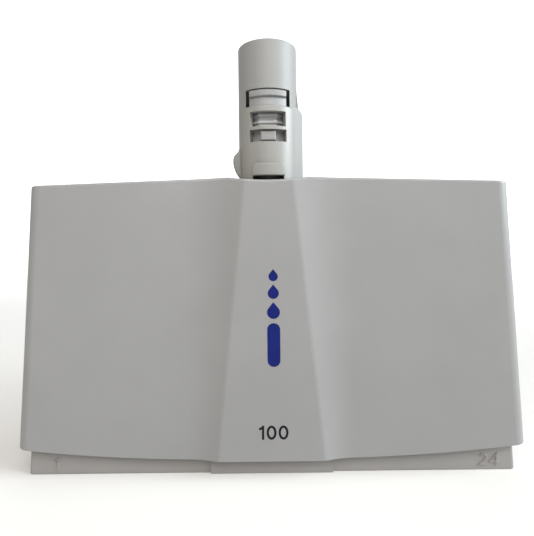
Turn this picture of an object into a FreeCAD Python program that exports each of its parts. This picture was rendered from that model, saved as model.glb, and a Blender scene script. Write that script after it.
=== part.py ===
"""Lower part of a 24-channel, 100 microlitre pipette: neck, covers, pistons, tip cones and ejector.

X runs along the row of channels, Y to the back and Z up.  Z = 0 is the underside of the ejector
strip, which hangs at its lower stop, and the neck's axis is X = Y = 0.  All sizes are in mm.
"""
import FreeCAD, Part
import os
from math import cos, pi, radians, sin, tan

V = FreeCAD.Vector

# --- driving dimensions -----------------------------------------------------------------------
CHANNELS = 24
PITCH = 4.5
STROKE = 18.8                 # of the pistons: 24 bores of 100 microlitres
EJECTOR_TRAVEL = 4.5          # of the strip, from hanging down to pushed up
GAP = 0.3                     # between pieces that pass each other
PARTING = 0.05                # each cover's share of the parting line

# covers
COVER_DEPTH = 7.5             # half of the depth over the flat panels
COVER_WALL = 1.5
COVER_END_WALL = 1.0
COVER_HALF_TOP = 57.25        # half of the width at COVER_TOP
COVER_TAPER = 0.0565          # the half width grows by this much per mm downwards
END_RADIUS = 3.0
COVER_TOP = 69.5              # height of the top at its outer ends
CREST = 70.9                  # height of the top beside the neck
SCOOP = 70.2                  # height of the top in front of the neck
CREST_X = 9.5
COVER_BOTTOM = 4.5            # height of the bottom edge at the middle
ARCH_FLAT = 12.0              # half of the straight middle of the bottom edge
ARCH_RADIUS = 420.0
TOP_FILLET = 0.5
BLOCK_RIB_X = (46.0, 50.0)    # inner and outer end of the ribs that clamp the block
FLANGE_RIB_X = (20.0, 25.0)   # and of those that hold the neck shaft's flange
FLANGE_RIB = (4.5, 1.1)       # how near to the middle plane they reach, and their height

# raised wedge down the middle of each cover
WEDGE_ANGLE = radians(17.0)   # slope of the flank where it meets the wedge
FLANK_START = 19.2
WEDGE_HALF_TOP = 5.7
WEDGE_HALF_BOTTOM = 12.6
WEDGE_BLEND = 3.0             # radius along the wedge's edge

# ejector strip
STRIP_HALF = 58.6
STRIP_TOP_HALF = 58.1
STRIP_DEPTH = 5.5
STRIP_WALL = 1.2
STRIP_FLOOR = 1.5
STRIP_TOP = 9.0
STRIP_CAVITY_HALF = 57.0
STRIP_HOLE_RADIUS = 1.85
PAD_HALF = 14.6               # raised pad in the middle of the strip
PAD_DEPTH = 6.0

# tip cones and the plate that clamps them
CONE_TIP = 0.3
CONE_TIP_RADIUS = 1.35
CONE_ROOT_RADIUS = 1.65
CONE_BORE = 0.5
CONE_FLANGE_RADIUS = 2.1
CONE_FLANGE = 1.2
PLATE_BOTTOM = STRIP_FLOOR + EJECTOR_TRAVEL + 0.6
PLATE_TOP = 9.5
PLATE_HALF = 56.0
GASKET = 0.6

# cylinder block
BLOCK_BOTTOM = PLATE_TOP + GASKET
BLOCK_TOP = 32.1
BLOCK_DEPTH = 4.0
BLOCK_TOP_HALF = 53.6
EAR_HALF = 58.4
EAR_BOTTOM = 14.5
EAR_TOP = 24.0
PISTON_RADIUS = 1.3
BORE_RADIUS = 1.4
SEAL_RADIUS = 1.75
SEAL_HEIGHT = 1.5
RETAINER = 2.0

# pistons and the carrier that moves them
PISTON_TIP = 29.8
CARRIER_BOTTOM = BLOCK_TOP + RETAINER + STROKE + 2.1
CARRIER_TOP = 59.0
CARRIER_HALF = 56.4
CARRIER_DEPTH = 3.3
CAP = 2.0
PISTON_HEAD_RADIUS = 1.5
PISTON_HEAD = 1.2
ROD_X = 54.95                 # of the guide rods
ROD_RADIUS = 0.8
ROD_BOTTOM = 20.5
ROD_TOP = 66.0
BUSH_RADIUS = 1.25
BUSH_BOTTOM = 54.0
SPRING_RADIUS = 1.1
SPRING_WIRE = 0.35
SPRING_TURNS = 16

# neck
TUBE_RADIUS = 7.4
TUBE_BORE = 6.1
SOCKET_RADIUS = 6.3           # of the seat for the handle's spigot, in the top of the tube
SOCKET_BOTTOM = 92.5
TUBE_BOTTOM = 64.5
TUBE_TOP = 103.9
COLLAR_RADIUS = 7.7
COLLAR_BORE = 5.9
COLLAR_TOP = 88.0
COLLAR_ANGLE = radians(56.0)
NECK_OPENING = 8.05
WINDOW_HALF = 5.3             # of the window around the latch tongue
WINDOW_TOP = 92.1
UPPER_VIEW = (4.25, 83.05, 86.6)   # half width, bottom and top of each window in the collar
LOWER_VIEW = (4.45, 79.4, 82.3)
VIEW_FRONT = 6.45             # distance in front of the axis where the half width holds
VIEW_DRAFT = 0.33             # slope of the windows' side walls
GATE_MARK = (-2.15, 74.9, 0.13)    # X, Z and radius of the moulding gate's mark on the collar
STOP_HALF = 3.8               # raised stop on the collar, and the slot under it
STOP_BOTTOM = 71.3
STOP_TOP = 74.2
STOP_RADIUS = 8.7
LIP_RADIUS = 7.05             # of the pocket behind the collar's top lip, for the tongue's foot
POCKET_BOTTOM = 87.0
TONGUE_HALF = 4.45
TONGUE_TOP = 91.8
CLIP_WALL_RADIUS = 5.2        # inner radius of the wall behind the lower window
CLIP_WALL_BOTTOM = 78.6
CATCH = (1.8, 7.0, 79.75, 82.1)    # half width, reach from the axis, bottom and top
RING_BORE = 4.35
RING_BOTTOM = 82.6
RIDGES = (84.1, 85.8)         # heights of the ridges' undersides
RIDGE_RADIUS = 5.38           # from the axis to a flat of the eight-sided ridges
RIDGE_HEIGHT = 0.85
WING_X = 8.65                 # of the wing on the neck's right side
WING_Y = 3.9
LOBE_Y = 2.6
BAND = (72.5, 77.5)           # heights of the band behind the neck
SHAFT_RADIUS = 4.0
SHAFT_TOP = 90.0
SHAFT_BORE = 3.0
SHAFT_BORE_BOTTOM = 68.0
SHAFT_FLAT = 3.5              # how far the shaft's foot and flange reach back
SPIGOT_RADIUS = 3.0
FLANGE_BOTTOM = 62.0
FLANGE_TOP = 64.0
FLANGE_HALF = 26.0
NOTCH_HALF = 14.5             # of the flange's notch, which the ejector plate passes
SHAFT_FOOT_RADIUS = 5.4
PISTON_ROD_RADIUS = 1.5
PISTON_ROD_TOP = 88.0
ROD_SPIGOT = (1.0, 1.6)       # radius and height, inside the rod's head
HEAD_RADIUS = 2.6
HEAD_HEIGHT = 2.5
CLIP_RADIUS = 2.3
CLIP_BORE = 1.2
CLIP_BOTTOM = 87.4

# ejector plate, from the strip's rear wall up to the foot of the neck tube
PLATE_FRONT = STRIP_DEPTH - STRIP_WALL
PLATE_BACK = PLATE_FRONT + 1.0
PLATE_SCREW_HEIGHTS = (57.6, 60.2)
PLATE_SCREW_END = 6.6
PLATE_OUTLINE = ((44, STRIP_TOP), (44, 16), (38, 24), (14, 50), (10, 56), (10, 61.6))
PLATE_WINDOW = ((6, 16), (34, 16), (34, 22), (9, 46), (6, 46))
TABS = (-36.0, -12.0, 12.0, 36.0)
FOOT_HALF = 3.0
FOOT_BOTTOM = 56.0

# screws: head radius, head height, shank radius
SMALL_SCREW = (0.9, 0.8, 0.5)
CARRIER_SCREW = (0.85, 0.7, 0.5)
COVER_SCREW = (1.7, 1.2, 0.9)
PLATE_SCREW = (1.3, 0.5, 0.8)
SCREW_COLUMNS = (-5, -3, -1, 1, 3, 5)   # in steps of two channels
SCREW_DEPTH = 4.0             # of the small screws in the block
SMALL_SOCKET = 0.4            # radius and depth of the small screws' sockets
SCREW_ROW = 2.95              # the small screws' distance from the row of channels
SEAT_CLEARANCE = 0.1
COVER_SOCKET = (0.75, 0.7)    # radius and depth
CARRIER_ROW = 2.2
LOW_SCREW_Z = 18.0
HIGH_SCREW_Z = 66.0
SCREW_SEAT = COVER_DEPTH - 1.6
SCREW_END = -5.8

ALONG_Y = V(0, 1, 0)


# --- helpers ----------------------------------------------------------------------------------
def box(x0, x1, y0, y1, z0, z1):
    return Part.makeBox(x1 - x0, y1 - y0, z1 - z0, V(x0, y0, z0))


def cylinder(radius, z0, z1, x=0.0, y=0.0):
    return Part.makeCylinder(radius, z1 - z0, V(x, y, z0))


def ring(outer, inner, z0, z1, x=0.0, y=0.0):
    return cylinder(outer, z0, z1, x, y).cut(cylinder(inner, z0, z1, x, y))


def cylinder_y(radius, y0, y1, x, z):
    return Part.makeCylinder(radius, y1 - y0, V(x, y0, z), ALONG_Y)


def joined(shapes):
    return shapes[0].multiFuse(shapes[1:]).removeSplitter()


def without(shape, tools):
    return shape.cut(Part.makeCompound(tools))


def edge(points):
    if len(points) == 2:
        return Part.LineSegment(*points).toShape()
    return Part.Arc(*points).toShape()


def profile(runs):
    """A face bounded by runs of two points (a line) or three points (an arc)."""
    return Part.Face(Part.Wire([edge(run) for run in runs]))


def polygon(points):
    return Part.Face(Part.makePolygon(points + points[:1]))


def turned(points):
    """A solid of revolution about Z from (radius, height) corners."""
    return polygon([V(r, 0, z) for r, z in points]).revolve(V(), V(0, 0, 1), 360)


def rounded(shape, radius, chosen):
    """Fillets the edges for which chosen(bounding box) is true."""
    edges = [e for e in shape.Edges if chosen(e.BoundBox)]
    return shape.makeFillet(radius, edges)


def channel_x(index):
    return (index - (CHANNELS - 1) / 2) * PITCH


def channels():
    return [channel_x(index) for index in range(CHANNELS)]


def screw_places(row):
    """Places of screws midway between channels, in two rows."""
    return [(x * 2 * PITCH, side * row) for x in SCREW_COLUMNS for side in (-1, 1)]


def save(name, shape):
    shape.exportStep("parts/%s.step" % name)


# --- covers -----------------------------------------------------------------------------------
def cover_half(z):
    return COVER_HALF_TOP + (COVER_TOP - z) * COVER_TAPER


def wedge_half(z):
    share = (COVER_TOP - z) / (COVER_TOP - COVER_BOTTOM)
    return WEDGE_HALF_TOP + (WEDGE_HALF_BOTTOM - WEDGE_HALF_TOP) * share


def quarter_section(z, inset, end_inset):
    """Runs of the cover's section from its right end to the wedge's face, at the front."""
    half = cover_half(z) - end_inset
    depth = COVER_DEPTH - inset
    corner = END_RADIUS - inset
    slope = V(sin(WEDGE_ANGLE), -cos(WEDGE_ANGLE), 0)
    middle = V(sin(WEDGE_ANGLE / 2), -cos(WEDGE_ANGLE / 2), 0)
    foot = wedge_half(z) + WEDGE_BLEND * tan(WEDGE_ANGLE / 2)
    hollow = (FLANK_START - foot) / sin(WEDGE_ANGLE)
    hollow_centre = V(FLANK_START, -COVER_DEPTH - hollow, z)
    blend_centre = hollow_centre - slope * (hollow + WEDGE_BLEND)
    corner_centre = V(half - corner, -depth + corner, z)
    end = corner_centre + V(corner, 0, 0)
    panel = corner_centre + V(0, -corner, 0)
    half_turn = V(corner * cos(pi / 4), -corner * sin(pi / 4), 0)
    flank = [hollow_centre - d * (hollow + inset) for d in (V(0, -1, 0), middle, slope)]
    blend = [blend_centre + d * (WEDGE_BLEND - inset) for d in (slope, middle, V(0, -1, 0))]
    return [[end, corner_centre + half_turn, panel], [panel, flank[0]], flank, blend]


def mirrored(runs, x_sign, y_sign):
    return [[V(p.x * x_sign, p.y * y_sign, p.z) for p in run] for run in runs]


def backwards(runs):
    return [run[::-1] for run in runs[::-1]]


def section(z, inset, end_inset):
    quarter = quarter_section(z, inset, end_inset)
    turns = [quarter, backwards(mirrored(quarter, -1, 1)),
             mirrored(quarter, -1, -1), backwards(mirrored(quarter, 1, -1))]
    runs = []
    for index, turn in enumerate(turns):
        runs += turn
        runs.append([turn[-1][-1], turns[(index + 1) % 4][0][0]])
    return Part.Wire([edge(run) for run in runs])


def cover_prism(drop, bottom):
    """The covers' outline seen from the front, with its top lowered by drop."""
    side = 70.0
    slope = (CREST - COVER_TOP) / (cover_half(COVER_TOP) - CREST_X)
    end_top = CREST - slope * (side - CREST_X) - drop
    crest = CREST - drop
    right = [V(side, -20, bottom), V(side, -20, end_top), V(CREST_X, -20, crest)]
    left = [V(-p.x, p.y, p.z) for p in right[::-1]]
    scoop = [right[2], V(0, -20, SCOOP - drop), left[0]]
    runs = [right[:2], right[1:], scoop, left[:2], left[1:], [left[2], right[0]]]
    return profile(runs).extrude(V(0, 40, 0))


def arch():
    """The space under the bottom edge, straight in the middle and curving up to the ends."""
    reach = 53.0
    rise = ARCH_RADIUS - (ARCH_RADIUS ** 2 - reach ** 2) ** 0.5
    half_rise = ARCH_RADIUS - (ARCH_RADIUS ** 2 - (reach / 2) ** 2) ** 0.5
    right = [V(ARCH_FLAT, -20, COVER_BOTTOM),
             V(ARCH_FLAT + reach / 2, -20, COVER_BOTTOM + half_rise),
             V(ARCH_FLAT + reach, -20, COVER_BOTTOM + rise)]
    left = [V(-p.x, p.y, p.z) for p in right[::-1]]
    low_right = V(ARCH_FLAT + reach, -20, -5)
    low_left = V(-ARCH_FLAT - reach, -20, -5)
    runs = [left, [left[2], right[0]], right, [right[2], low_right],
            [low_right, low_left], [low_left, left[0]]]
    return profile(runs).extrude(V(0, 40, 0))


def top_outer_edge(b):
    on_top = b.ZMin > COVER_TOP - 0.5 and b.ZMax < CREST + 0.5
    crease = b.YLength > 5 and abs(b.Center.x) < FLANK_START
    return on_top and not crease


def cover_shell():
    outer = Part.makeLoft([section(0, 0, 0), section(75, 0, 0)], True, True)
    outer = outer.common(cover_prism(0, -5)).cut(arch())
    outer = rounded(outer, TOP_FILLET, top_outer_edge)
    inner = Part.makeLoft([section(0, COVER_WALL, COVER_END_WALL),
                           section(75, COVER_WALL, COVER_END_WALL)], True, True)
    inner = inner.common(cover_prism(COVER_WALL, -5))
    wing_slot = box(0, WING_X + GAP, -WING_Y - GAP, WING_Y + GAP, 60, 80)
    return without(outer, [inner, cylinder(NECK_OPENING, 60, 80), wing_slot])


def cover_ribs(side):
    """Ribs that hold the block and the flange, and the screw bosses, on one cover."""
    face = COVER_DEPTH - COVER_WALL
    pieces = []
    for x_side in (-1, 1):
        x0, x1 = sorted(x_side * x for x in BLOCK_RIB_X)
        pieces.append(box(x0, x1, BLOCK_DEPTH, face + 0.5, EAR_BOTTOM, BLOCK_TOP - 1))
        x0, x1 = sorted(x_side * x for x in FLANGE_RIB_X)
        reach, height = FLANGE_RIB
        for z0 in (FLANGE_BOTTOM - height, FLANGE_TOP):
            pieces.append(box(x0, x1, reach, face + 0.5, z0, z0 + height))
    for x, z, reach in cover_screw_places():
        pieces.append(cylinder_y(COVER_SCREW[0] + 0.4, reach, face + 0.5, x, z))
    group = Part.makeCompound(pieces)
    return group if side > 0 else group.mirror(V(), ALONG_Y)


def cover_screw_places():
    """X, Z and how near to the middle plane the boss reaches."""
    low = [(side * ROD_X, LOW_SCREW_Z, BLOCK_DEPTH) for side in (-1, 1)]
    high = [(side * x, HIGH_SCREW_Z, PARTING) for side in (-1, 1) for x in (30.0, 50.0)]
    return low + high


def cover(side):
    keep = box(-70, 70, PARTING, 20, -5, 80)
    if side < 0:
        keep = keep.mirror(V(), ALONG_Y)
    shell = cover_shell().common(keep)
    ribs = cover_ribs(side)
    shell = shell.multiFuse(ribs.Solids).removeSplitter()
    holes = []
    for x, z, _ in cover_screw_places():
        holes.append(cylinder_y(COVER_SCREW[2], SCREW_END, 20, x, z))
        holes.append(cylinder_y(COVER_SCREW[0] + SEAT_CLEARANCE, SCREW_SEAT, 20, x, z))
    return without(shell, holes)


def cover_screws():
    head_radius, head, shank = COVER_SCREW
    screws = []
    for x, z, _ in cover_screw_places():
        body = cylinder_y(shank, SCREW_END, SCREW_SEAT + 0.1, x, z)
        cap = cylinder_y(head_radius, SCREW_SEAT, SCREW_SEAT + head, x, z)
        radius, depth = COVER_SOCKET
        socket = cylinder_y(radius, SCREW_SEAT + head - depth, SCREW_SEAT + head, x, z)
        screws.append(body.fuse(cap).cut(socket))
    return Part.makeCompound(screws)


# --- cylinder block, seals, cones --------------------------------------------------------------
def cylinder_block():
    core = box(-BLOCK_TOP_HALF, BLOCK_TOP_HALF, -BLOCK_DEPTH, BLOCK_DEPTH, BLOCK_BOTTOM, BLOCK_TOP)
    ears = box(-EAR_HALF, EAR_HALF, -BLOCK_DEPTH, BLOCK_DEPTH, EAR_BOTTOM, EAR_TOP)
    base = box(-PLATE_HALF, PLATE_HALF, -BLOCK_DEPTH, BLOCK_DEPTH, BLOCK_BOTTOM, EAR_BOTTOM)
    holes = []
    for x in channels():
        holes.append(cylinder(BORE_RADIUS, BLOCK_BOTTOM, BLOCK_TOP, x))
        holes.append(cylinder(SEAL_RADIUS, BLOCK_TOP - SEAL_HEIGHT, BLOCK_TOP, x))
    for side in (-1, 1):
        holes.append(cylinder(ROD_RADIUS, ROD_BOTTOM, EAR_TOP, side * ROD_X))
        holes.append(cylinder_y(COVER_SCREW[2], -20, 20, side * ROD_X, LOW_SCREW_Z))
    for x, y in screw_places(SCREW_ROW):
        holes.append(cylinder(SMALL_SCREW[2], BLOCK_BOTTOM, BLOCK_BOTTOM + SCREW_DEPTH, x, y))
        holes.append(cylinder(SMALL_SCREW[2], BLOCK_TOP - SCREW_DEPTH, BLOCK_TOP, x, y))
    return without(joined([core, ears, base]), holes)


def piston_seals():
    z0 = BLOCK_TOP - SEAL_HEIGHT
    return Part.makeCompound([ring(SEAL_RADIUS, PISTON_RADIUS + 0.04, z0, BLOCK_TOP, x)
                              for x in channels()])


def seal_retainer():
    z1 = BLOCK_TOP + RETAINER
    bar = box(-BLOCK_TOP_HALF, BLOCK_TOP_HALF, -3.85, 3.85, BLOCK_TOP, z1)
    holes = [cylinder(PISTON_RADIUS + 0.2, BLOCK_TOP, z1, x) for x in channels()]
    holes += [cylinder(SMALL_SCREW[2], BLOCK_TOP, z1, x, y) for x, y in screw_places(SCREW_ROW)]
    return without(bar, holes)


def small_screws(seat, reach, direction):
    """Screws that enter from seat towards direction, each with a hex socket."""
    head_radius, head, shank = SMALL_SCREW
    screws = []
    for x, y in screw_places(SCREW_ROW):
        body = cylinder(shank, min(seat, seat + direction * reach),
                        max(seat, seat + direction * reach), x, y)
        cap = cylinder(head_radius, min(seat, seat - direction * head),
                       max(seat, seat - direction * head), x, y)
        tip = seat - direction * head
        inner = tip + direction * SMALL_SOCKET
        socket = cylinder(SMALL_SOCKET, min(tip, inner), max(tip, inner), x, y)
        screws.append(body.fuse(cap).cut(socket))
    return Part.makeCompound(screws)


def cone_gasket():
    sheet = box(-PLATE_HALF + 0.5, PLATE_HALF - 0.5, -3.8, 3.8, PLATE_TOP, BLOCK_BOTTOM)
    holes = [cylinder(1.0, PLATE_TOP, BLOCK_BOTTOM, x) for x in channels()]
    holes += [cylinder(SMALL_SCREW[2], PLATE_TOP, BLOCK_BOTTOM, x, y) for x, y in screw_places(SCREW_ROW)]
    return without(sheet, holes)


def cone_plate():
    bar = box(-PLATE_HALF, PLATE_HALF, -BLOCK_DEPTH, BLOCK_DEPTH, PLATE_BOTTOM, PLATE_TOP)
    flange_z = PLATE_TOP - CONE_FLANGE
    holes = [cylinder(CONE_ROOT_RADIUS + 0.05, PLATE_BOTTOM, PLATE_TOP, x) for x in channels()]
    holes += [cylinder(CONE_FLANGE_RADIUS, flange_z, PLATE_TOP, x) for x in channels()]
    for x, y in screw_places(SCREW_ROW):
        holes.append(cylinder(SMALL_SCREW[2], PLATE_BOTTOM, PLATE_TOP, x, y))
        holes.append(cylinder(SMALL_SCREW[0], PLATE_BOTTOM, PLATE_BOTTOM + SMALL_SCREW[1], x, y))
    return without(bar, holes)


def tip_cone():
    """A hollow cone that a tip is pushed onto, with a groove near its end."""
    flange_z = PLATE_TOP - CONE_FLANGE
    outline = [(CONE_BORE, CONE_TIP), (CONE_TIP_RADIUS - 0.25, CONE_TIP),
               (CONE_TIP_RADIUS, CONE_TIP + 0.4), (CONE_TIP_RADIUS + 0.03, CONE_TIP + 1.2),
               (CONE_TIP_RADIUS - 0.1, CONE_TIP + 1.3), (CONE_TIP_RADIUS - 0.1, CONE_TIP + 1.8),
               (CONE_TIP_RADIUS + 0.06, CONE_TIP + 1.9), (CONE_ROOT_RADIUS, flange_z),
               (CONE_FLANGE_RADIUS, flange_z), (CONE_FLANGE_RADIUS, PLATE_TOP), (CONE_BORE, PLATE_TOP)]
    return turned(outline)


# --- pistons and carrier -----------------------------------------------------------------------
def pistons():
    head_z = CARRIER_TOP - PISTON_HEAD
    outline = [(0, PISTON_TIP), (PISTON_RADIUS - 0.3, PISTON_TIP), (PISTON_RADIUS, PISTON_TIP + 0.3),
               (PISTON_RADIUS, head_z), (PISTON_HEAD_RADIUS, head_z), (PISTON_HEAD_RADIUS, CARRIER_TOP),
               (0, CARRIER_TOP)]
    piston = turned(outline)
    return Part.makeCompound([piston.translated(V(x, 0, 0)) for x in channels()])


def piston_carrier():
    bar = box(-CARRIER_HALF, CARRIER_HALF, -CARRIER_DEPTH, CARRIER_DEPTH, CARRIER_BOTTOM, CARRIER_TOP)
    bar = rounded(bar, 1.2, lambda b: b.ZLength > 1)
    head_z = CARRIER_TOP - PISTON_HEAD
    holes = [cylinder(PISTON_RADIUS + 0.02, CARRIER_BOTTOM, head_z, x) for x in channels()]
    holes += [cylinder(PISTON_HEAD_RADIUS, head_z, CARRIER_TOP, x) for x in channels()]
    holes += [cylinder(BUSH_RADIUS, CARRIER_BOTTOM, CARRIER_TOP, side * ROD_X) for side in (-1, 1)]
    low = CARRIER_TOP - SCREW_DEPTH + 1
    for x, y in screw_places(CARRIER_ROW):
        holes.append(cylinder(CARRIER_SCREW[2], low, CARRIER_TOP, x, y))
    return without(bar, holes)


def carrier_cap():
    z1 = CARRIER_TOP + CAP
    bar = box(-CARRIER_HALF, CARRIER_HALF, -CARRIER_DEPTH, CARRIER_DEPTH, CARRIER_TOP, z1)
    bar = rounded(bar, 1.2, lambda b: b.ZLength > 1)
    holes = [cylinder(BUSH_RADIUS, CARRIER_TOP, z1, side * ROD_X) for side in (-1, 1)]
    holes.append(cylinder(PISTON_ROD_RADIUS, CARRIER_TOP, z1))
    head_radius, head, shank = CARRIER_SCREW
    for x, y in screw_places(CARRIER_ROW):
        holes.append(cylinder(shank, CARRIER_TOP, z1, x, y))
        holes.append(cylinder(head_radius, z1 - head, z1, x, y))
    return without(bar, holes)


def carrier_screws():
    z1 = CARRIER_TOP + CAP
    head_radius, head, shank = CARRIER_SCREW
    screws = []
    for x, y in screw_places(CARRIER_ROW):
        screw = cylinder(shank, CARRIER_TOP - SCREW_DEPTH + 1, z1 - head / 2, x, y)
        screw = screw.fuse(cylinder(head_radius, z1 - head, z1, x, y))
        screws.append(screw.cut(cylinder(SMALL_SOCKET, z1 - SMALL_SOCKET, z1, x, y)))
    return Part.makeCompound(screws)


def guide_bushes():
    z1 = CARRIER_TOP + CAP
    return Part.makeCompound([ring(BUSH_RADIUS, ROD_RADIUS + 0.05, BUSH_BOTTOM, z1, side * ROD_X)
                              for side in (-1, 1)])


def return_spring(x):
    low = EAR_TOP + SPRING_WIRE / 2 + 0.05
    high = BUSH_BOTTOM - SPRING_WIRE / 2 - 0.05
    helix = Part.makeHelix((high - low) / SPRING_TURNS, high - low, SPRING_RADIUS)
    circle = Part.Circle(V(SPRING_RADIUS, 0, 0), ALONG_Y, SPRING_WIRE / 2)
    wire = Part.Wire(circle.toShape())
    spring = Part.Wire(helix.Edges).makePipeShell([wire], True, True)
    return spring.translated(V(x, 0, low))


def piston_rod():
    rod = cylinder(PISTON_ROD_RADIUS, CARRIER_TOP, PISTON_ROD_TOP)
    radius, height = ROD_SPIGOT
    rod = rod.fuse(cylinder(radius, PISTON_ROD_TOP, PISTON_ROD_TOP + height))
    return rod.cut(ring(CLIP_RADIUS, CLIP_BORE, CLIP_BOTTOM, PISTON_ROD_TOP))


def rod_head():
    z0 = PISTON_ROD_TOP
    z1 = z0 + HEAD_HEIGHT
    radius, height = ROD_SPIGOT
    outline = [(radius, z0), (HEAD_RADIUS - 0.3, z0), (HEAD_RADIUS, z0 + 0.3), (HEAD_RADIUS, z1 - 0.6),
               (HEAD_RADIUS - 0.6, z1), (0, z1), (0, z0 + height), (radius, z0 + height)]
    return turned(outline)


# --- neck --------------------------------------------------------------------------------------
def octagon(inner_radius, z0, z1):
    corner = inner_radius / cos(pi / 8)
    turns = [pi / 8 + index * pi / 4 for index in range(8)]
    points = [V(corner * cos(t), corner * sin(t), z0) for t in turns]
    return polygon(points).extrude(V(0, 0, z1 - z0))


def neck_shaft():
    outer = joined([cylinder(SPIGOT_RADIUS, FLANGE_BOTTOM, FLANGE_TOP),
                    cylinder(SHAFT_FOOT_RADIUS, FLANGE_TOP, FLANGE_TOP + 1),
                    cylinder(SHAFT_RADIUS, FLANGE_TOP, SHAFT_TOP)])
    bore = cylinder(PISTON_ROD_RADIUS + 0.08, FLANGE_BOTTOM, SHAFT_TOP)
    wide = cylinder(SHAFT_BORE, SHAFT_BORE_BOTTOM, SHAFT_TOP)
    flat = box(-10, 10, SHAFT_FLAT, 10, FLANGE_BOTTOM, SHAFT_BORE_BOTTOM)
    return without(outer, [bore, wide, flat])


def circlip():
    """An open ring in the piston rod's groove, under the rod's head."""
    clip = ring(CLIP_RADIUS, CLIP_BORE, CLIP_BOTTOM, PISTON_ROD_TOP)
    return clip.cut(box(-0.8, 0.8, 0, 4, CLIP_BOTTOM, PISTON_ROD_TOP))


def shaft_flange():
    face = COVER_DEPTH - COVER_WALL
    plate = box(-FLANGE_HALF, FLANGE_HALF, -face, face, FLANGE_BOTTOM, FLANGE_TOP)
    notch = box(-NOTCH_HALF, NOTCH_HALF, SHAFT_FLAT, 10, FLANGE_BOTTOM, FLANGE_TOP)
    return without(plate, [notch, cylinder(SPIGOT_RADIUS, FLANGE_BOTTOM, FLANGE_TOP)])


def sector(angle, z0, z1):
    """A wedge-shaped space at the front, out to both sides by angle."""
    reach = 30.0
    points = [V(0, 0, z0), V(-reach * sin(angle), -reach * cos(angle), z0),
              V(0, -2 * reach, z0), V(reach * sin(angle), -reach * cos(angle), z0)]
    return polygon(points).extrude(V(0, 0, z1 - z0))


def neck_tube():
    tube = ring(TUBE_RADIUS, TUBE_BORE, TUBE_BOTTOM, TUBE_TOP)
    tube = rounded(tube, 0.45, lambda b: b.ZMin > TUBE_TOP - 0.1)
    foot = box(-FOOT_HALF, FOOT_HALF, PLATE_BACK, 7.1, FOOT_BOTTOM, TUBE_BOTTOM + 1.5)
    tube = tube.fuse(foot)
    window = box(-WINDOW_HALF, WINDOW_HALF, -20, 0, COLLAR_TOP, WINDOW_TOP)
    screws = [cylinder_y(PLATE_SCREW[2], 0, PLATE_SCREW_END, 0, z) for z in PLATE_SCREW_HEIGHTS]
    socket = cylinder(SOCKET_RADIUS, SOCKET_BOTTOM, TUBE_TOP + 1)
    return without(tube, [sector(COLLAR_ANGLE, 60, COLLAR_TOP), window, socket] + screws)


def view_window(view):
    """A window through the front of the collar, with side walls that taper inwards."""
    half, low, high = view
    outer = half + (COLLAR_RADIUS + 1 - VIEW_FRONT) * VIEW_DRAFT
    inner = half - (VIEW_FRONT - 3.5) * VIEW_DRAFT
    face = polygon([V(-outer, -COLLAR_RADIUS - 1, low), V(outer, -COLLAR_RADIUS - 1, low),
                    V(inner, -3.5, low), V(-inner, -3.5, low)])
    return face.extrude(V(0, 0, high - low))


def collar_stop():
    stop = cylinder(STOP_RADIUS, STOP_BOTTOM, STOP_TOP)
    stop = stop.common(box(-STOP_HALF, STOP_HALF, -10, -6.5, STOP_BOTTOM, STOP_TOP))
    stop = rounded(stop, 0.85, lambda b: b.ZMin > STOP_TOP - 0.1 and b.XLength < 0.1)
    stop = rounded(stop, 0.3, lambda b: b.YMax < -7.2)
    return stop.cut(cylinder(COLLAR_BORE + 0.5, STOP_BOTTOM, STOP_TOP))


def window_collar():
    collar = ring(COLLAR_RADIUS, COLLAR_BORE, TUBE_BOTTOM, COLLAR_TOP)
    collar = rounded(collar, 0.35, lambda b: b.ZMin > COLLAR_TOP - 0.1 and b.XMax > COLLAR_BORE + 1)
    collar = collar.common(sector(COLLAR_ANGLE, 60, 90)).fuse(collar_stop())
    reach = TONGUE_HALF + 0.15
    pocket = cylinder(LIP_RADIUS, POCKET_BOTTOM, 90).common(box(-reach, reach, -20, 0, 80, 95))
    slot = box(-STOP_HALF + 0.1, STOP_HALF - 0.1, -20, 0, 67, STOP_BOTTOM)
    x, z, radius = GATE_MARK
    gate = cylinder_y(radius, -COLLAR_RADIUS - 1, -COLLAR_RADIUS + 0.5, x, z)
    return without(collar, [view_window(UPPER_VIEW), view_window(LOWER_VIEW), pocket, slot, gate])


def collar_clip():
    """The wall behind the lower window, with its catch."""
    wall = ring(COLLAR_BORE, CLIP_WALL_RADIUS, CLIP_WALL_BOTTOM, RING_BOTTOM)
    wall = wall.common(sector(COLLAR_ANGLE - radians(4), 70, 90))
    half, reach, z0, z1 = CATCH
    catch = box(-half, half, -reach, -CLIP_WALL_RADIUS - 0.1, z0, z1)
    catch = rounded(catch, 0.3, lambda b: b.YMax < -reach + 0.1)
    return wall.fuse(catch)


def latch_ring():
    """A sleeve with two eight-sided ridges, seated on a round foot inside the collar."""
    foot_top = LOWER_VIEW[2] + 0.6
    pieces = [cylinder(COLLAR_BORE - 0.02, RING_BOTTOM, foot_top),
              octagon(RIDGE_RADIUS - 0.45, foot_top, RIDGES[1] + RIDGE_HEIGHT)]
    for z0 in RIDGES:
        ridge = octagon(RIDGE_RADIUS, z0, z0 + RIDGE_HEIGHT)
        pieces.append(rounded(ridge, 0.3, lambda b: b.ZLength < 0.01))
    return joined(pieces).cut(cylinder(RING_BORE, 80, 90))


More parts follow.
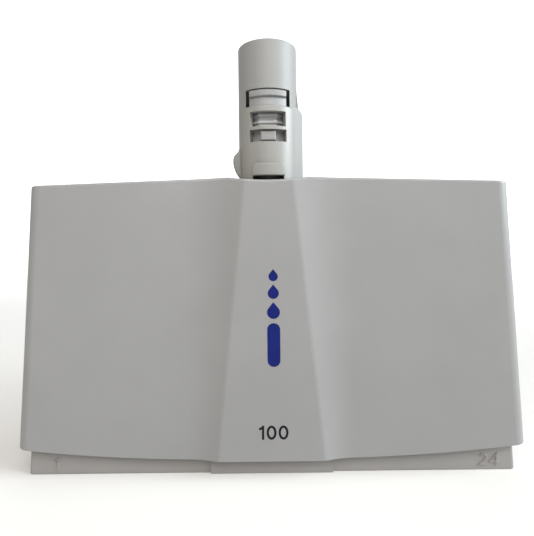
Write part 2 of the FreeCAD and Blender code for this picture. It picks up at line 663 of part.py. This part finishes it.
def wing():
    """The wing's outline seen from the front, cut to a section that leaves the collar at a tangent."""
    shoulder = [V(WING_X, -8, 86.4), V(WING_X - 0.15, -8, 87.15), V(WING_X - 0.6, -8, 87.75)]
    flare = [shoulder[2], V(7.75, -8, 88.02), V(7.64, -8, 88.5)]
    outline = [[V(5, -8, 66), V(WING_X, -8, 66)], [V(WING_X, -8, 66), shoulder[0]], shoulder, flare,
               [flare[2], V(7.1, -8, 94)], [V(7.1, -8, 94), V(5, -8, 94)], [V(5, -8, 94), V(5, -8, 66)]]
    front = profile(outline).extrude(V(0, 16, 0))
    plan = polygon([V(5.75, -4.8, 60), V(WING_X, -1.75, 60), V(WING_X, WING_Y, 60), V(4, WING_Y, 60),
                    V(4, -4.8, 60)])
    above = box(0, 10, -10, -2, COLLAR_TOP + 0.4, 100)
    return front.common(plan.extrude(V(0, 0, 40))).cut(above)


def lobe():
    """The low hump on the neck's left side."""
    near = -LOBE_Y
    line = Part.BSplineCurve()
    places = ((-6.7, 79.6), (-7.3, 78.6), (-7.5, 78.0), (-7.9, 77.5), (-8.4, 77.0), (-8.7, 76.3),
              (-8.8, 75.3), (-8.6, 74.0), (-8.1, 72.6), (-7.4, 71.5), (-6.7, 70.8))
    line.interpolate([V(x, near, z) for x, z in places])
    chord = Part.LineSegment(V(-6.7, near, 70.8), V(-6.7, near, 79.6)).toShape()
    hump = Part.Face(Part.Wire([line.toShape(), chord])).extrude(V(0, 2 * LOBE_Y, 0))
    return rounded(hump, 0.5, lambda b: b.XMin < -8.5 and b.ZLength > 3)


def side_rail():
    """The wing on the right, the lobe on the left and the band behind that joins them."""
    band = ring(TUBE_RADIUS + 0.6, TUBE_RADIUS, *BAND).common(box(-9, 9, 0, 9, *BAND))
    rail = joined([wing(), lobe(), band])
    collar = cylinder(COLLAR_RADIUS, 60, COLLAR_TOP).common(sector(COLLAR_ANGLE, 60, COLLAR_TOP))
    return without(rail, [collar, cylinder(TUBE_RADIUS, 60, 110)])


def latch_tongue():
    foot = POCKET_BOTTOM + 0.12
    outline = [(5.3, foot), (LIP_RADIUS - 0.1, foot), (LIP_RADIUS - 0.1, 88.3), (6.8, 89.2),
               (6.75, 90.2), (7.25, 90.3), (7.4, 90.45), (7.4, TONGUE_TOP - 0.15),
               (7.25, TONGUE_TOP), (6.3, TONGUE_TOP), (6.3, 89.2), (5.3, 88.6)]
    return turned(outline).common(box(-TONGUE_HALF, TONGUE_HALF, -20, 0, 80, 95))


# --- ejector -----------------------------------------------------------------------------------
def strip_tabs(depth):
    """The tabs that key the ejector plate into the strip's rear wall."""
    pieces = []
    for x in TABS:
        pieces.append(box(x - 2, x + 2, PLATE_FRONT, depth, STRIP_TOP - 1, STRIP_TOP))
        pieces.append(box(x - 3, x + 3, PLATE_FRONT, depth, STRIP_TOP - 2, STRIP_TOP - 1))
    return pieces


def ejector_plate():
    outline = [V(x, PLATE_FRONT, z) for x, z in PLATE_OUTLINE]
    outline += [V(-x, PLATE_FRONT, z) for x, z in PLATE_OUTLINE[::-1]]
    sheet = polygon(outline).extrude(V(0, PLATE_BACK - PLATE_FRONT, 0))
    sheet = joined([sheet] + strip_tabs(PLATE_BACK))
    holes = [cylinder_y(PLATE_SCREW[2], 0, 9, 0, z) for z in PLATE_SCREW_HEIGHTS]
    for side in (-1, 1):
        face = polygon([V(side * x, 0, z) for x, z in PLATE_WINDOW])
        holes.append(face.extrude(V(0, 9, 0)))
    return without(sheet, holes)


def plate_screws():
    head_radius, head, shank = PLATE_SCREW
    tip = PLATE_FRONT - head
    screws = []
    for z in PLATE_SCREW_HEIGHTS:
        body = cylinder_y(shank, PLATE_FRONT, PLATE_SCREW_END, 0, z)
        cap = cylinder_y(head_radius, tip, PLATE_FRONT, 0, z)
        screws.append(body.fuse(cap).cut(cylinder_y(0.5, tip, PLATE_FRONT, 0, z)))
    return Part.makeCompound(screws)


def rectangle(half_x, half_y, z):
    return Part.makePolygon([V(-half_x, -half_y, z), V(half_x, -half_y, z), V(half_x, half_y, z),
                             V(-half_x, half_y, z), V(-half_x, -half_y, z)])


def ejector_strip():
    bar = Part.makeLoft([rectangle(STRIP_HALF, STRIP_DEPTH, 0),
                         rectangle(STRIP_TOP_HALF, STRIP_DEPTH, STRIP_TOP)], True, True)
    bar = rounded(bar, 0.8, lambda b: b.ZLength > 5)
    pad = box(-PAD_HALF, PAD_HALF, -PAD_DEPTH, 0, 0, STRIP_TOP)
    bar = rounded(joined([bar, pad]), 0.35, lambda b: b.ZMax < 0.01)
    inner = STRIP_DEPTH - STRIP_WALL
    cavity = box(-STRIP_CAVITY_HALF, STRIP_CAVITY_HALF, -inner, inner, STRIP_FLOOR, STRIP_TOP + 1)
    holes = [cylinder(STRIP_HOLE_RADIUS, -1, STRIP_FLOOR + 1, x) for x in channels()]
    return without(bar, [cavity] + holes + strip_tabs(STRIP_DEPTH + 1))


# --- assembly ----------------------------------------------------------------------------------
def main():
    os.makedirs("parts", exist_ok=True)
    save("front_cover", cover(-1))
    save("rear_cover", cover(1))
    save("cover_screws", cover_screws())
    save("cylinder_block", cylinder_block())
    save("piston_seals", piston_seals())
    save("seal_retainer", seal_retainer())
    save("retainer_screws", small_screws(BLOCK_TOP + RETAINER, RETAINER + SCREW_DEPTH, -1))
    save("cone_gasket", cone_gasket())
    save("cone_plate", cone_plate())
    seat = PLATE_BOTTOM + SMALL_SCREW[1]
    save("cone_plate_screws", small_screws(seat, BLOCK_BOTTOM + SCREW_DEPTH - 0.8 - seat, 1))
    cone = tip_cone()
    for index, x in enumerate(channels()):
        save("tip_cone_%02d" % (index + 1), cone.translated(V(x, 0, 0)))
    for name, side in (("left", -1), ("right", 1)):
        save(name + "_guide_rod", cylinder(ROD_RADIUS, ROD_BOTTOM, ROD_TOP, side * ROD_X))
        save(name + "_spring", return_spring(side * ROD_X))
    save("neck_shaft", neck_shaft())
    save("shaft_flange", shaft_flange())
    save("circlip", circlip())
    save("pistons", pistons())
    save("piston_carrier", piston_carrier())
    save("carrier_cap", carrier_cap())
    save("carrier_screws", carrier_screws())
    save("guide_bushes", guide_bushes())
    save("piston_rod", piston_rod())
    save("rod_head", rod_head())
    save("neck_tube", neck_tube())
    save("window_collar", window_collar())
    save("collar_clip", collar_clip())
    save("latch_ring", latch_ring())
    save("side_rail", side_rail())
    save("latch_tongue", latch_tongue())
    save("ejector_plate", ejector_plate())
    save("plate_screws", plate_screws())
    save("ejector_strip", ejector_strip())


main()
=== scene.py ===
"""Looks for the 24-channel pipette's lower part: materials, marks, stage, light and camera."""

import math

import bmesh
import bpy
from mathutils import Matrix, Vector
from mathutils.bvhtree import BVHTree


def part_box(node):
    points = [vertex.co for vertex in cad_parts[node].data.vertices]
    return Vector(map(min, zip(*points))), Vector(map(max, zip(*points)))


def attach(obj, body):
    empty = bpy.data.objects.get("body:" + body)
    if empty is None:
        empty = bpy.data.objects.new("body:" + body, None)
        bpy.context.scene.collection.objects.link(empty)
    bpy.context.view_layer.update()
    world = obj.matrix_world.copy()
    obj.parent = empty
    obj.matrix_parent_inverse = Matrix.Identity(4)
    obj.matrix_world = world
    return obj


MM = 0.001

# camera: close to the object, level, with a small roll
CAMERA_PLACE = (-0.5 * MM, -98.3 * MM, 61.5 * MM)
CAMERA_ROLL = math.radians(0.66)
CAMERA_LENS = 25.86
CAMERA_SHIFT = -0.095
CAMERA_NEAR = 1 * MM
CAMERA_FAR = 20

# marks
CHANNELS = 24
PITCH = 4.5 * MM
INK = 0.02 * MM               # how far the print stands off the cover
MOULDED = 0.28 * MM           # how far the moulded numerals stand off the strip
DIGIT_SPACE = 0.13            # between digits one unit high
VOLUME_HEIGHT = 3.3 * MM
VOLUME_STRETCH = 1.07
VOLUME_WEIGHT = 0.16          # a line's width, as a share of the digit's height
VOLUME_PLACE = (0.45 * MM, 5.15 * MM)       # x, and height over the cover's lower edge
CHANNEL_HEIGHT = 2.95 * MM
CHANNEL_STRETCH = 1.12
CHANNEL_WEIGHT = 0.17
CHANNEL_Z = 1.15 * MM         # the foot of the moulded numerals
CHANNEL_FRONT = 0.35          # width of a moulded line's front, as a share of its foot
LAST_SHIFT = 0.45 * MM        # the last channel's numeral stands a little outwards
EMBLEM_PLACE = (0.75 * MM, 22.2 * MM)       # x, and height over the cover's lower edge
EMBLEM_WIDTH = 3.0 * MM
BAR_HEIGHT = 10.2 * MM
BAR_GAP = 1.0 * MM
DROP_HEIGHT = 3.9 * MM
DROP_GAP = 0.75 * MM
DROP_SHARES = (1.0, 0.86, 0.72)             # sizes of the drops, from the bar up
SAME_PLACE = 1e-9             # points nearer than this close a line

# moulded plastic
GRAIN = 0.09 * MM
GRAIN_DEPTH = 0.012 * MM
MOTTLE = 0.03                 # share by which the colour varies

# stage
FLOOR_FRONT = -0.9
WALL_Y = 0.9
WALL_RADIUS = 0.35
WALL_HEIGHT = 1.4
STAGE_WIDTH = 2.4
CURVE_STEPS = 16
FLOOR_COLOURS = ((0.58, 0.56, 0.535), (0.60, 0.58, 0.555))
GLOW_Y = (0.03, 0.5)          # the floor's glow grows between these places
GLOW = (0.10, 0.75)

# light
AIM = (0, 0, 50 * MM)
WORLD_COLOUR = (0.97, 0.98, 1.0, 1)
WORLD_STRENGTH = 0.20

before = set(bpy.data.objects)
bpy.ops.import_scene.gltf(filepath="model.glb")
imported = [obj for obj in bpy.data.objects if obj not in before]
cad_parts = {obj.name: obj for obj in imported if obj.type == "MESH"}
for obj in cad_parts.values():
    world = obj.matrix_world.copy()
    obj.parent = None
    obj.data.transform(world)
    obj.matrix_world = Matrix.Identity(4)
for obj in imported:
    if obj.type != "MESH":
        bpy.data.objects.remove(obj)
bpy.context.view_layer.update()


# --- node helpers -------------------------------------------------------------------------------
def add(tree, kind, **values):
    node = tree.nodes.new(kind)
    for key, value in values.items():
        if key in node.inputs:
            node.inputs[key].default_value = value
        else:
            setattr(node, key, value)
    return node


def noise(tree, coords, scale, detail=2.0, roughness=0.5):
    node = add(tree, "ShaderNodeTexNoise", Scale=scale, Detail=detail, Roughness=roughness)
    tree.links.new(coords, node.inputs["Vector"])
    return node.outputs["Fac"]


def spread(tree, value, low, high):
    node = add(tree, "ShaderNodeMapRange")
    for name, number in (("From Min", 0.3), ("From Max", 0.7), ("To Min", low), ("To Max", high)):
        node.inputs[name].default_value = number
    tree.links.new(value, node.inputs["Value"])
    return node.outputs["Result"]


def mixed(tree, factor, first, second):
    node = add(tree, "ShaderNodeMix", data_type="RGBA")
    tree.links.new(factor, node.inputs["Factor"])
    node.inputs["A"].default_value = (*first, 1)
    node.inputs["B"].default_value = (*second, 1)
    return node.outputs["Result"]


def bump(tree, height, strength, distance, normal=None):
    node = add(tree, "ShaderNodeBump", Strength=strength, Distance=distance)
    tree.links.new(height, node.inputs["Height"])
    if normal:
        tree.links.new(normal, node.inputs["Normal"])
    return node.outputs["Normal"]


def start(name):
    material = bpy.data.materials.new(name)
    material.use_nodes = True
    tree = material.node_tree
    shader = tree.nodes["Principled BSDF"]
    coords = add(tree, "ShaderNodeTexCoord").outputs["Object"]
    return material, tree, shader, coords


def link(tree, pairs):
    for source, socket in pairs:
        tree.links.new(source, socket)


# --- materials ----------------------------------------------------------------------------------
def moulded(name, colour, rough=0.42):
    """Moulded plastic with a fine spark-eroded grain and faint mottling."""
    material, tree, shader, coords = start(name)
    light = tuple(c * (1 + MOTTLE) for c in colour)
    dark = tuple(c * (1 - MOTTLE) for c in colour)
    clouds = noise(tree, coords, scale=60, detail=3)
    specks = noise(tree, coords, scale=1 / GRAIN, detail=3, roughness=0.6)
    waves = noise(tree, coords, scale=260, detail=2)
    normal = bump(tree, specks, strength=0.55, distance=GRAIN_DEPTH)
    normal = bump(tree, waves, strength=0.2, distance=0.01 * MM, normal=normal)
    link(tree, [(mixed(tree, spread(tree, clouds, 0, 1), dark, light), shader.inputs["Base Color"]),
                (spread(tree, specks, rough - 0.05, rough + 0.07), shader.inputs["Roughness"]),
                (normal, shader.inputs["Normal"])])
    shader.inputs["IOR"].default_value = 1.5
    return material


def steel(name, colour=(0.60, 0.61, 0.62), rough=0.26, along=(1, 1, 0.04)):
    """Turned or drawn steel with fine lines along the piece."""
    material, tree, shader, coords = start(name)
    mapping = add(tree, "ShaderNodeMapping")
    mapping.inputs["Scale"].default_value = along
    tree.links.new(coords, mapping.inputs["Vector"])
    lines = noise(tree, mapping.outputs["Vector"], scale=9000, detail=2)
    clouds = noise(tree, coords, scale=180, detail=2)
    dark = tuple(c * 0.86 for c in colour)
    link(tree, [(mixed(tree, spread(tree, clouds, 0, 1), dark, colour), shader.inputs["Base Color"]),
                (spread(tree, lines, rough - 0.06, rough + 0.12), shader.inputs["Roughness"]),
                (bump(tree, lines, strength=0.3, distance=0.004 * MM), shader.inputs["Normal"])])
    shader.inputs["Metallic"].default_value = 1.0
    return material


def rubber(name):
    """Dull dark rubber."""
    material, tree, shader, coords = start(name)
    specks = noise(tree, coords, scale=4000, detail=3)
    dark, light = (0.02, 0.02, 0.022), (0.04, 0.04, 0.042)
    link(tree, [(mixed(tree, spread(tree, specks, 0, 1), dark, light), shader.inputs["Base Color"]),
                (spread(tree, specks, 0.6, 0.8), shader.inputs["Roughness"]),
                (bump(tree, specks, strength=0.4, distance=0.01 * MM), shader.inputs["Normal"])])
    return material


def ink(name, colour):
    """Pad-printed ink with slightly uneven cover."""
    material, tree, shader, coords = start(name)
    specks = noise(tree, coords, scale=5200, detail=3)
    clouds = noise(tree, coords, scale=420, detail=2)
    light = tuple(c * 1.3 for c in colour)
    link(tree, [(mixed(tree, spread(tree, clouds, 0, 1), colour, light), shader.inputs["Base Color"]),
                (spread(tree, specks, 0.5, 0.65), shader.inputs["Roughness"]),
                (bump(tree, specks, strength=0.3, distance=0.006 * MM), shader.inputs["Normal"])])
    shader.inputs["Specular IOR Level"].default_value = 0.12
    return material


def dress(nodes, material):
    """Gives the material to the frame's nodes of these names."""
    for name in nodes:
        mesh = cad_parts[name].data
        mesh.materials.clear()
        mesh.materials.append(material)


def dress_shell():
    """The plastic that the photo shows."""
    dress(["front_cover", "rear_cover"], moulded("cover_grey", (0.2255, 0.2225, 0.2195)))
    dress(["neck_tube", "side_rail"], moulded("neck_grey", (0.198, 0.1975, 0.192), rough=0.55))
    dress(["ejector_strip", "ejector_plate"], moulded("strip_grey", (0.232, 0.222, 0.213)))
    dress(["window_collar"], moulded("collar_grey", (0.215, 0.211, 0.197)))
    dress(["collar_clip", "latch_tongue"], moulded("latch_grey", (0.200, 0.200, 0.197), rough=0.50))
    # the latch ring gets a lighter grey than the other latch parts: painted light, standing in for the
    # light its ridges lose deep in the collar's window
    dress(["latch_ring"], moulded("ring_painted_light", (0.38, 0.38, 0.375), rough=0.50))
    dress(["neck_shaft"], moulded("shaft_grey", (0.240, 0.242, 0.248), rough=0.40))


def dress_inside():
    """The pieces behind the covers."""
    cones = ["tip_cone_%02d" % number for number in range(1, CHANNELS + 1)]
    dress(cones, moulded("cone_grey", (0.42, 0.44, 0.47), rough=0.30))
    dress(["pistons", "guide_bushes"], moulded("piston_white", (0.74, 0.73, 0.69), rough=0.28))
    dress(["cylinder_block", "piston_carrier", "carrier_cap"],
          moulded("inner_grey", (0.30, 0.31, 0.33), rough=0.45))
    dress(["cone_plate", "seal_retainer", "shaft_flange"],
          steel("satin_aluminium", (0.72, 0.73, 0.75), rough=0.34, along=(0.04, 1, 1)))
    dress(["cone_gasket", "piston_seals"], rubber("seal_rubber"))
    dress(["cover_screws", "retainer_screws", "cone_plate_screws", "carrier_screws", "plate_screws",
           "circlip", "piston_rod", "rod_head", "left_guide_rod", "right_guide_rod",
           "left_spring", "right_spring"], steel("drawn_steel"))


# --- marks --------------------------------------------------------------------------------------
def mesh_piece(name, mesh, material, body):
    piece = bpy.data.objects.new(name, mesh)
    bpy.context.scene.collection.objects.link(piece)
    mesh.materials.clear()
    mesh.materials.append(material)
    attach(piece, body)
    return piece


def oval(x, z, half_x, half_z, start, end, steps=20):
    """Points along an ellipse about (x, z), from one angle to another."""
    turns = [start + (end - start) * k / steps for k in range(steps + 1)]
    return [(x + half_x * math.cos(t), z + half_z * math.sin(t)) for t in turns]


def digit_lines(digit, weight):
    """Centre lines of a 0, 1, 2 or 4 one unit high, in a plain upright style, and its width."""
    e = weight / 2
    if digit == "1":
        return [[(0.30, 0.0), (0.30, 1.0)], [(0.04, 0.73), (0.21, 0.82), (0.30, 1.0 - e)]], 0.40
    if digit == "0":
        return [oval(0.33, 0.5, 0.33 - e, 0.5 - e, 0, 2 * math.pi, 40)], 0.66
    if digit == "2":
        bowl = oval(0.32, 0.70, 0.32 - e, 0.30 - e, math.pi * 0.94, -math.pi * 0.16)
        return [bowl + [(0.40, 0.40), (0.16, 0.20), (e, e)], [(0.0, e), (0.64, e)]], 0.64
    stem = [(0.50, 0.0), (0.50, 1.0 - e), (e * 0.8, 0.24 + e)]
    return [stem, [(0.0, 0.24 + e), (0.68, 0.24 + e)]], 0.68


def ribbon(shape, line, weight, thickness, front=1.0):
    """A prism of the given weight along a centre line in the XZ plane, standing off towards -Y.

    Its front is narrower than its foot by the share given.
    """
    closed = (Vector(line[0]) - Vector(line[-1])).length < SAME_PLACE
    points = [Vector(p) for p in (line[:-1] if closed else line)]
    count = len(points)
    rows = []
    for k, here in enumerate(points):
        before = points[k - 1] if (k or closed) else None
        after = points[(k + 1) % count] if (k < count - 1 or closed) else None
        into = (here - before).normalized() if before else (after - here).normalized()
        out = (after - here).normalized() if after else into
        side = Vector((-(into + out).y, (into + out).x)).normalized()
        reach = weight / 2 / max(0.5, side.dot(Vector((-into.y, into.x))))
        corners = [(here + side * reach, 0), (here - side * reach, 0),
                   (here - side * reach * front, thickness), (here + side * reach * front, thickness)]
        rows.append([shape.verts.new((p.x, -y, p.y)) for p, y in corners])
    for k in range(count if closed else count - 1):
        first, second = rows[k], rows[(k + 1) % count]
        for c in range(4):
            shape.faces.new((first[c], first[(c + 1) % 4], second[(c + 1) % 4], second[c]))
    if not closed:
        shape.faces.new(rows[0][::-1])
        shape.faces.new(rows[-1])


def finished_mesh(shape, name):
    """Turns the built faces outwards and makes them a mesh."""
    bmesh.ops.recalc_face_normals(shape, faces=shape.faces)
    mesh = bpy.data.meshes.new(name)
    shape.to_mesh(mesh)
    shape.free()
    return mesh


def numerals(text, height, thickness, stretch, weight, front=1.0):
    """A mesh of numerals in the XZ plane, centred, standing off towards -Y."""
    drawn = [digit_lines(digit, weight) for digit in text]
    total = sum(width for _, width in drawn) + DIGIT_SPACE * (len(text) - 1)
    shape = bmesh.new()
    x = -total / 2
    for lines, width in drawn:
        for line in lines:
            places = [((px + x) * height * stretch, pz * height) for px, pz in line]
            ribbon(shape, places, weight * height, thickness, front)
        x += width + DIGIT_SPACE
    return finished_mesh(shape, "numerals")


def surface_of(node):
    """A search tree over a node's mesh, to lay marks on it."""
    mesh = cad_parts[node].data
    return BVHTree.FromPolygons([v.co for v in mesh.vertices], [p.vertices for p in mesh.polygons])


def lay_on(mesh, tree, x, z):
    """Moves a mesh to (x, z) and lays it on the surface that a look along +Y meets."""
    for vert in mesh.vertices:
        place = Vector((vert.co.x + x, -1.0, vert.co.z + z))
        hit = tree.ray_cast(place, Vector((0, 1, 0)))[0]
        vert.co = Vector((place.x, hit.y + vert.co.y, place.z))


def pill(width, bottom, top):
    """Outline of a bar with round ends, upright."""
    r = width / 2
    return (oval(0, top - r, r, r, 0, math.pi, 16)
            + oval(0, bottom + r, r, r, math.pi, 2 * math.pi, 16))


def drop(width, bottom, top):
    """Outline of a drop with its point up."""
    r = width / 2
    lean = math.acos(r / (top - bottom - r))
    return [(0, top)] + oval(0, bottom + r, r, r, math.pi / 2 + lean, 2.5 * math.pi - lean, 28)


def plates(outlines, thickness):
    """Flat prisms from outlines in the XZ plane, standing off towards -Y."""
    shape = bmesh.new()
    for outline in outlines:
        back = [shape.verts.new((x, 0, z)) for x, z in outline]
        front = [shape.verts.new((x, -thickness, z)) for x, z in outline]
        shape.faces.new(back)
        shape.faces.new(front[::-1])
        for k, vert in enumerate(back):
            after = (k + 1) % len(back)
            shape.faces.new((vert, front[k], front[after], back[after]))
    return finished_mesh(shape, "plates")


def emblem():
    """A made-up mark: a long bar, and drops that get smaller up the column over it."""
    outlines = [pill(EMBLEM_WIDTH, 0, BAR_HEIGHT)]
    z = BAR_HEIGHT + BAR_GAP
    for share in DROP_SHARES:
        height = DROP_HEIGHT * share
        outlines.append(drop(EMBLEM_WIDTH * share, z, z + height))
        z += height + DROP_GAP
    return plates(outlines, INK)


def printed_marks():
    """The emblem and the volume, printed on the front cover."""
    cover = surface_of("front_cover")
    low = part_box("front_cover")[0][2]
    mesh = emblem()
    lay_on(mesh, cover, EMBLEM_PLACE[0], low + EMBLEM_PLACE[1])
    mesh_piece("drop_emblem", mesh, ink("navy_ink", (0.004, 0.009, 0.090)), "housing")
    mesh = numerals("100", VOLUME_HEIGHT, INK, VOLUME_STRETCH, VOLUME_WEIGHT)
    lay_on(mesh, cover, VOLUME_PLACE[0], low + VOLUME_PLACE[1])
    mesh_piece("volume_numerals", mesh, ink("black_ink", (0.006, 0.006, 0.008)),
               "housing")


def moulded_marks():
    """The numbers of the first and last channel, raised on the ejector strip."""
    strip = surface_of("ejector_strip")
    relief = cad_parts["ejector_strip"].data.materials[0]
    reach = (CHANNELS - 1) / 2 * PITCH
    for text, x in (("1", -reach), (str(CHANNELS), reach + LAST_SHIFT)):
        mesh = numerals(text, CHANNEL_HEIGHT, MOULDED, CHANNEL_STRETCH, CHANNEL_WEIGHT, CHANNEL_FRONT)
        lay_on(mesh, strip, x, CHANNEL_Z)
        mesh_piece("channel_numeral_" + text, mesh, relief, "ejector")


# --- stage --------------------------------------------------------------------------------------
def floor_white():
    """A pale floor that glows more towards the wall, so that it fades into white."""
    material, tree, shader, coords = start("floor_white")
    clouds = noise(tree, coords, scale=6, detail=2)
    tree.links.new(mixed(tree, clouds, *FLOOR_COLOURS), shader.inputs["Base Color"])
    shader.inputs["Roughness"].default_value = 0.9
    shader.inputs["Specular IOR Level"].default_value = 0.1
    shader.inputs["Emission Color"].default_value = (1, 1, 1, 1)
    place = add(tree, "ShaderNodeSeparateXYZ")
    tree.links.new(coords, place.inputs["Vector"])
    glow = add(tree, "ShaderNodeMapRange", interpolation_type="SMOOTHSTEP")
    for socket, value in zip(("From Min", "From Max", "To Min", "To Max"), GLOW_Y + GLOW):
        glow.inputs[socket].default_value = value
    tree.links.new(place.outputs["Y"], glow.inputs["Value"])
    tree.links.new(glow.outputs["Result"], shader.inputs["Emission Strength"])
    return material


def stage():
    """A floor that curves up into a wall behind."""
    foot = WALL_Y - WALL_RADIUS
    turns = [math.pi / 2 * k / CURVE_STEPS for k in range(1, CURVE_STEPS + 1)]
    line = [(FLOOR_FRONT, 0.0), (foot, 0.0)]
    line += [(foot + WALL_RADIUS * math.sin(t), WALL_RADIUS - WALL_RADIUS * math.cos(t)) for t in turns]
    line.append((WALL_Y, WALL_HEIGHT))
    verts = [(x, y, z) for y, z in line for x in (-STAGE_WIDTH / 2, STAGE_WIDTH / 2)]
    faces = [(2 * k, 2 * k + 1, 2 * k + 3, 2 * k + 2) for k in range(len(line) - 1)]
    mesh = bpy.data.meshes.new("studio_floor")
    mesh.from_pydata(verts, [], faces)
    for face in mesh.polygons:
        face.use_smooth = True
    floor = bpy.data.objects.new("studio_floor", mesh)
    bpy.context.scene.collection.objects.link(floor)
    mesh.materials.append(floor_white())


def soft_light(name, place, size, watts, colour):
    """A rectangular lamp that points at the middle of the part."""
    data = bpy.data.lights.new(name, "AREA")
    data.shape = "RECTANGLE"
    data.size, data.size_y = size
    data.energy = watts
    data.color = colour
    lamp = bpy.data.objects.new(name, data)
    lamp.location = place
    lamp.rotation_euler = (Vector(AIM) - Vector(place)).to_track_quat("-Z", "Y").to_euler()
    bpy.context.scene.collection.objects.link(lamp)


def lights():
    """A cool far key from the right, a small lamp behind and above the camera, a warm left fill."""
    soft_light("key_right", place=(2.40, -0.50, 1.10), size=(1.3, 1.3), watts=140.0,
               colour=(0.87, 0.955, 1.0))
    soft_light("fill_front", place=(-0.01, -0.19, 0.22), size=(0.24, 0.14), watts=0.70,
               colour=(1.0, 0.98, 0.96))
    soft_light("fill_left", place=(-0.80, -0.30, 0.25), size=(0.5, 0.5), watts=0.8,
               colour=(1.0, 0.80, 0.62))
    world = bpy.data.worlds.new("studio")
    world.use_nodes = True
    background = world.node_tree.nodes["Background"]
    background.inputs["Color"].default_value = WORLD_COLOUR
    background.inputs["Strength"].default_value = WORLD_STRENGTH
    bpy.context.scene.world = world


def camera():
    data = bpy.data.cameras.new("camera")
    data.lens = CAMERA_LENS
    data.shift_y = CAMERA_SHIFT
    data.clip_start = CAMERA_NEAR
    data.clip_end = CAMERA_FAR
    eye = bpy.data.objects.new("camera", data)
    eye.location = CAMERA_PLACE
    eye.rotation_euler = (math.pi / 2, CAMERA_ROLL, 0)
    bpy.context.scene.collection.objects.link(eye)
    bpy.context.scene.camera = eye
    bpy.context.scene.view_settings.view_transform = "Standard"


dress_shell()
dress_inside()
printed_marks()
moulded_marks()
stage()
lights()
camera()
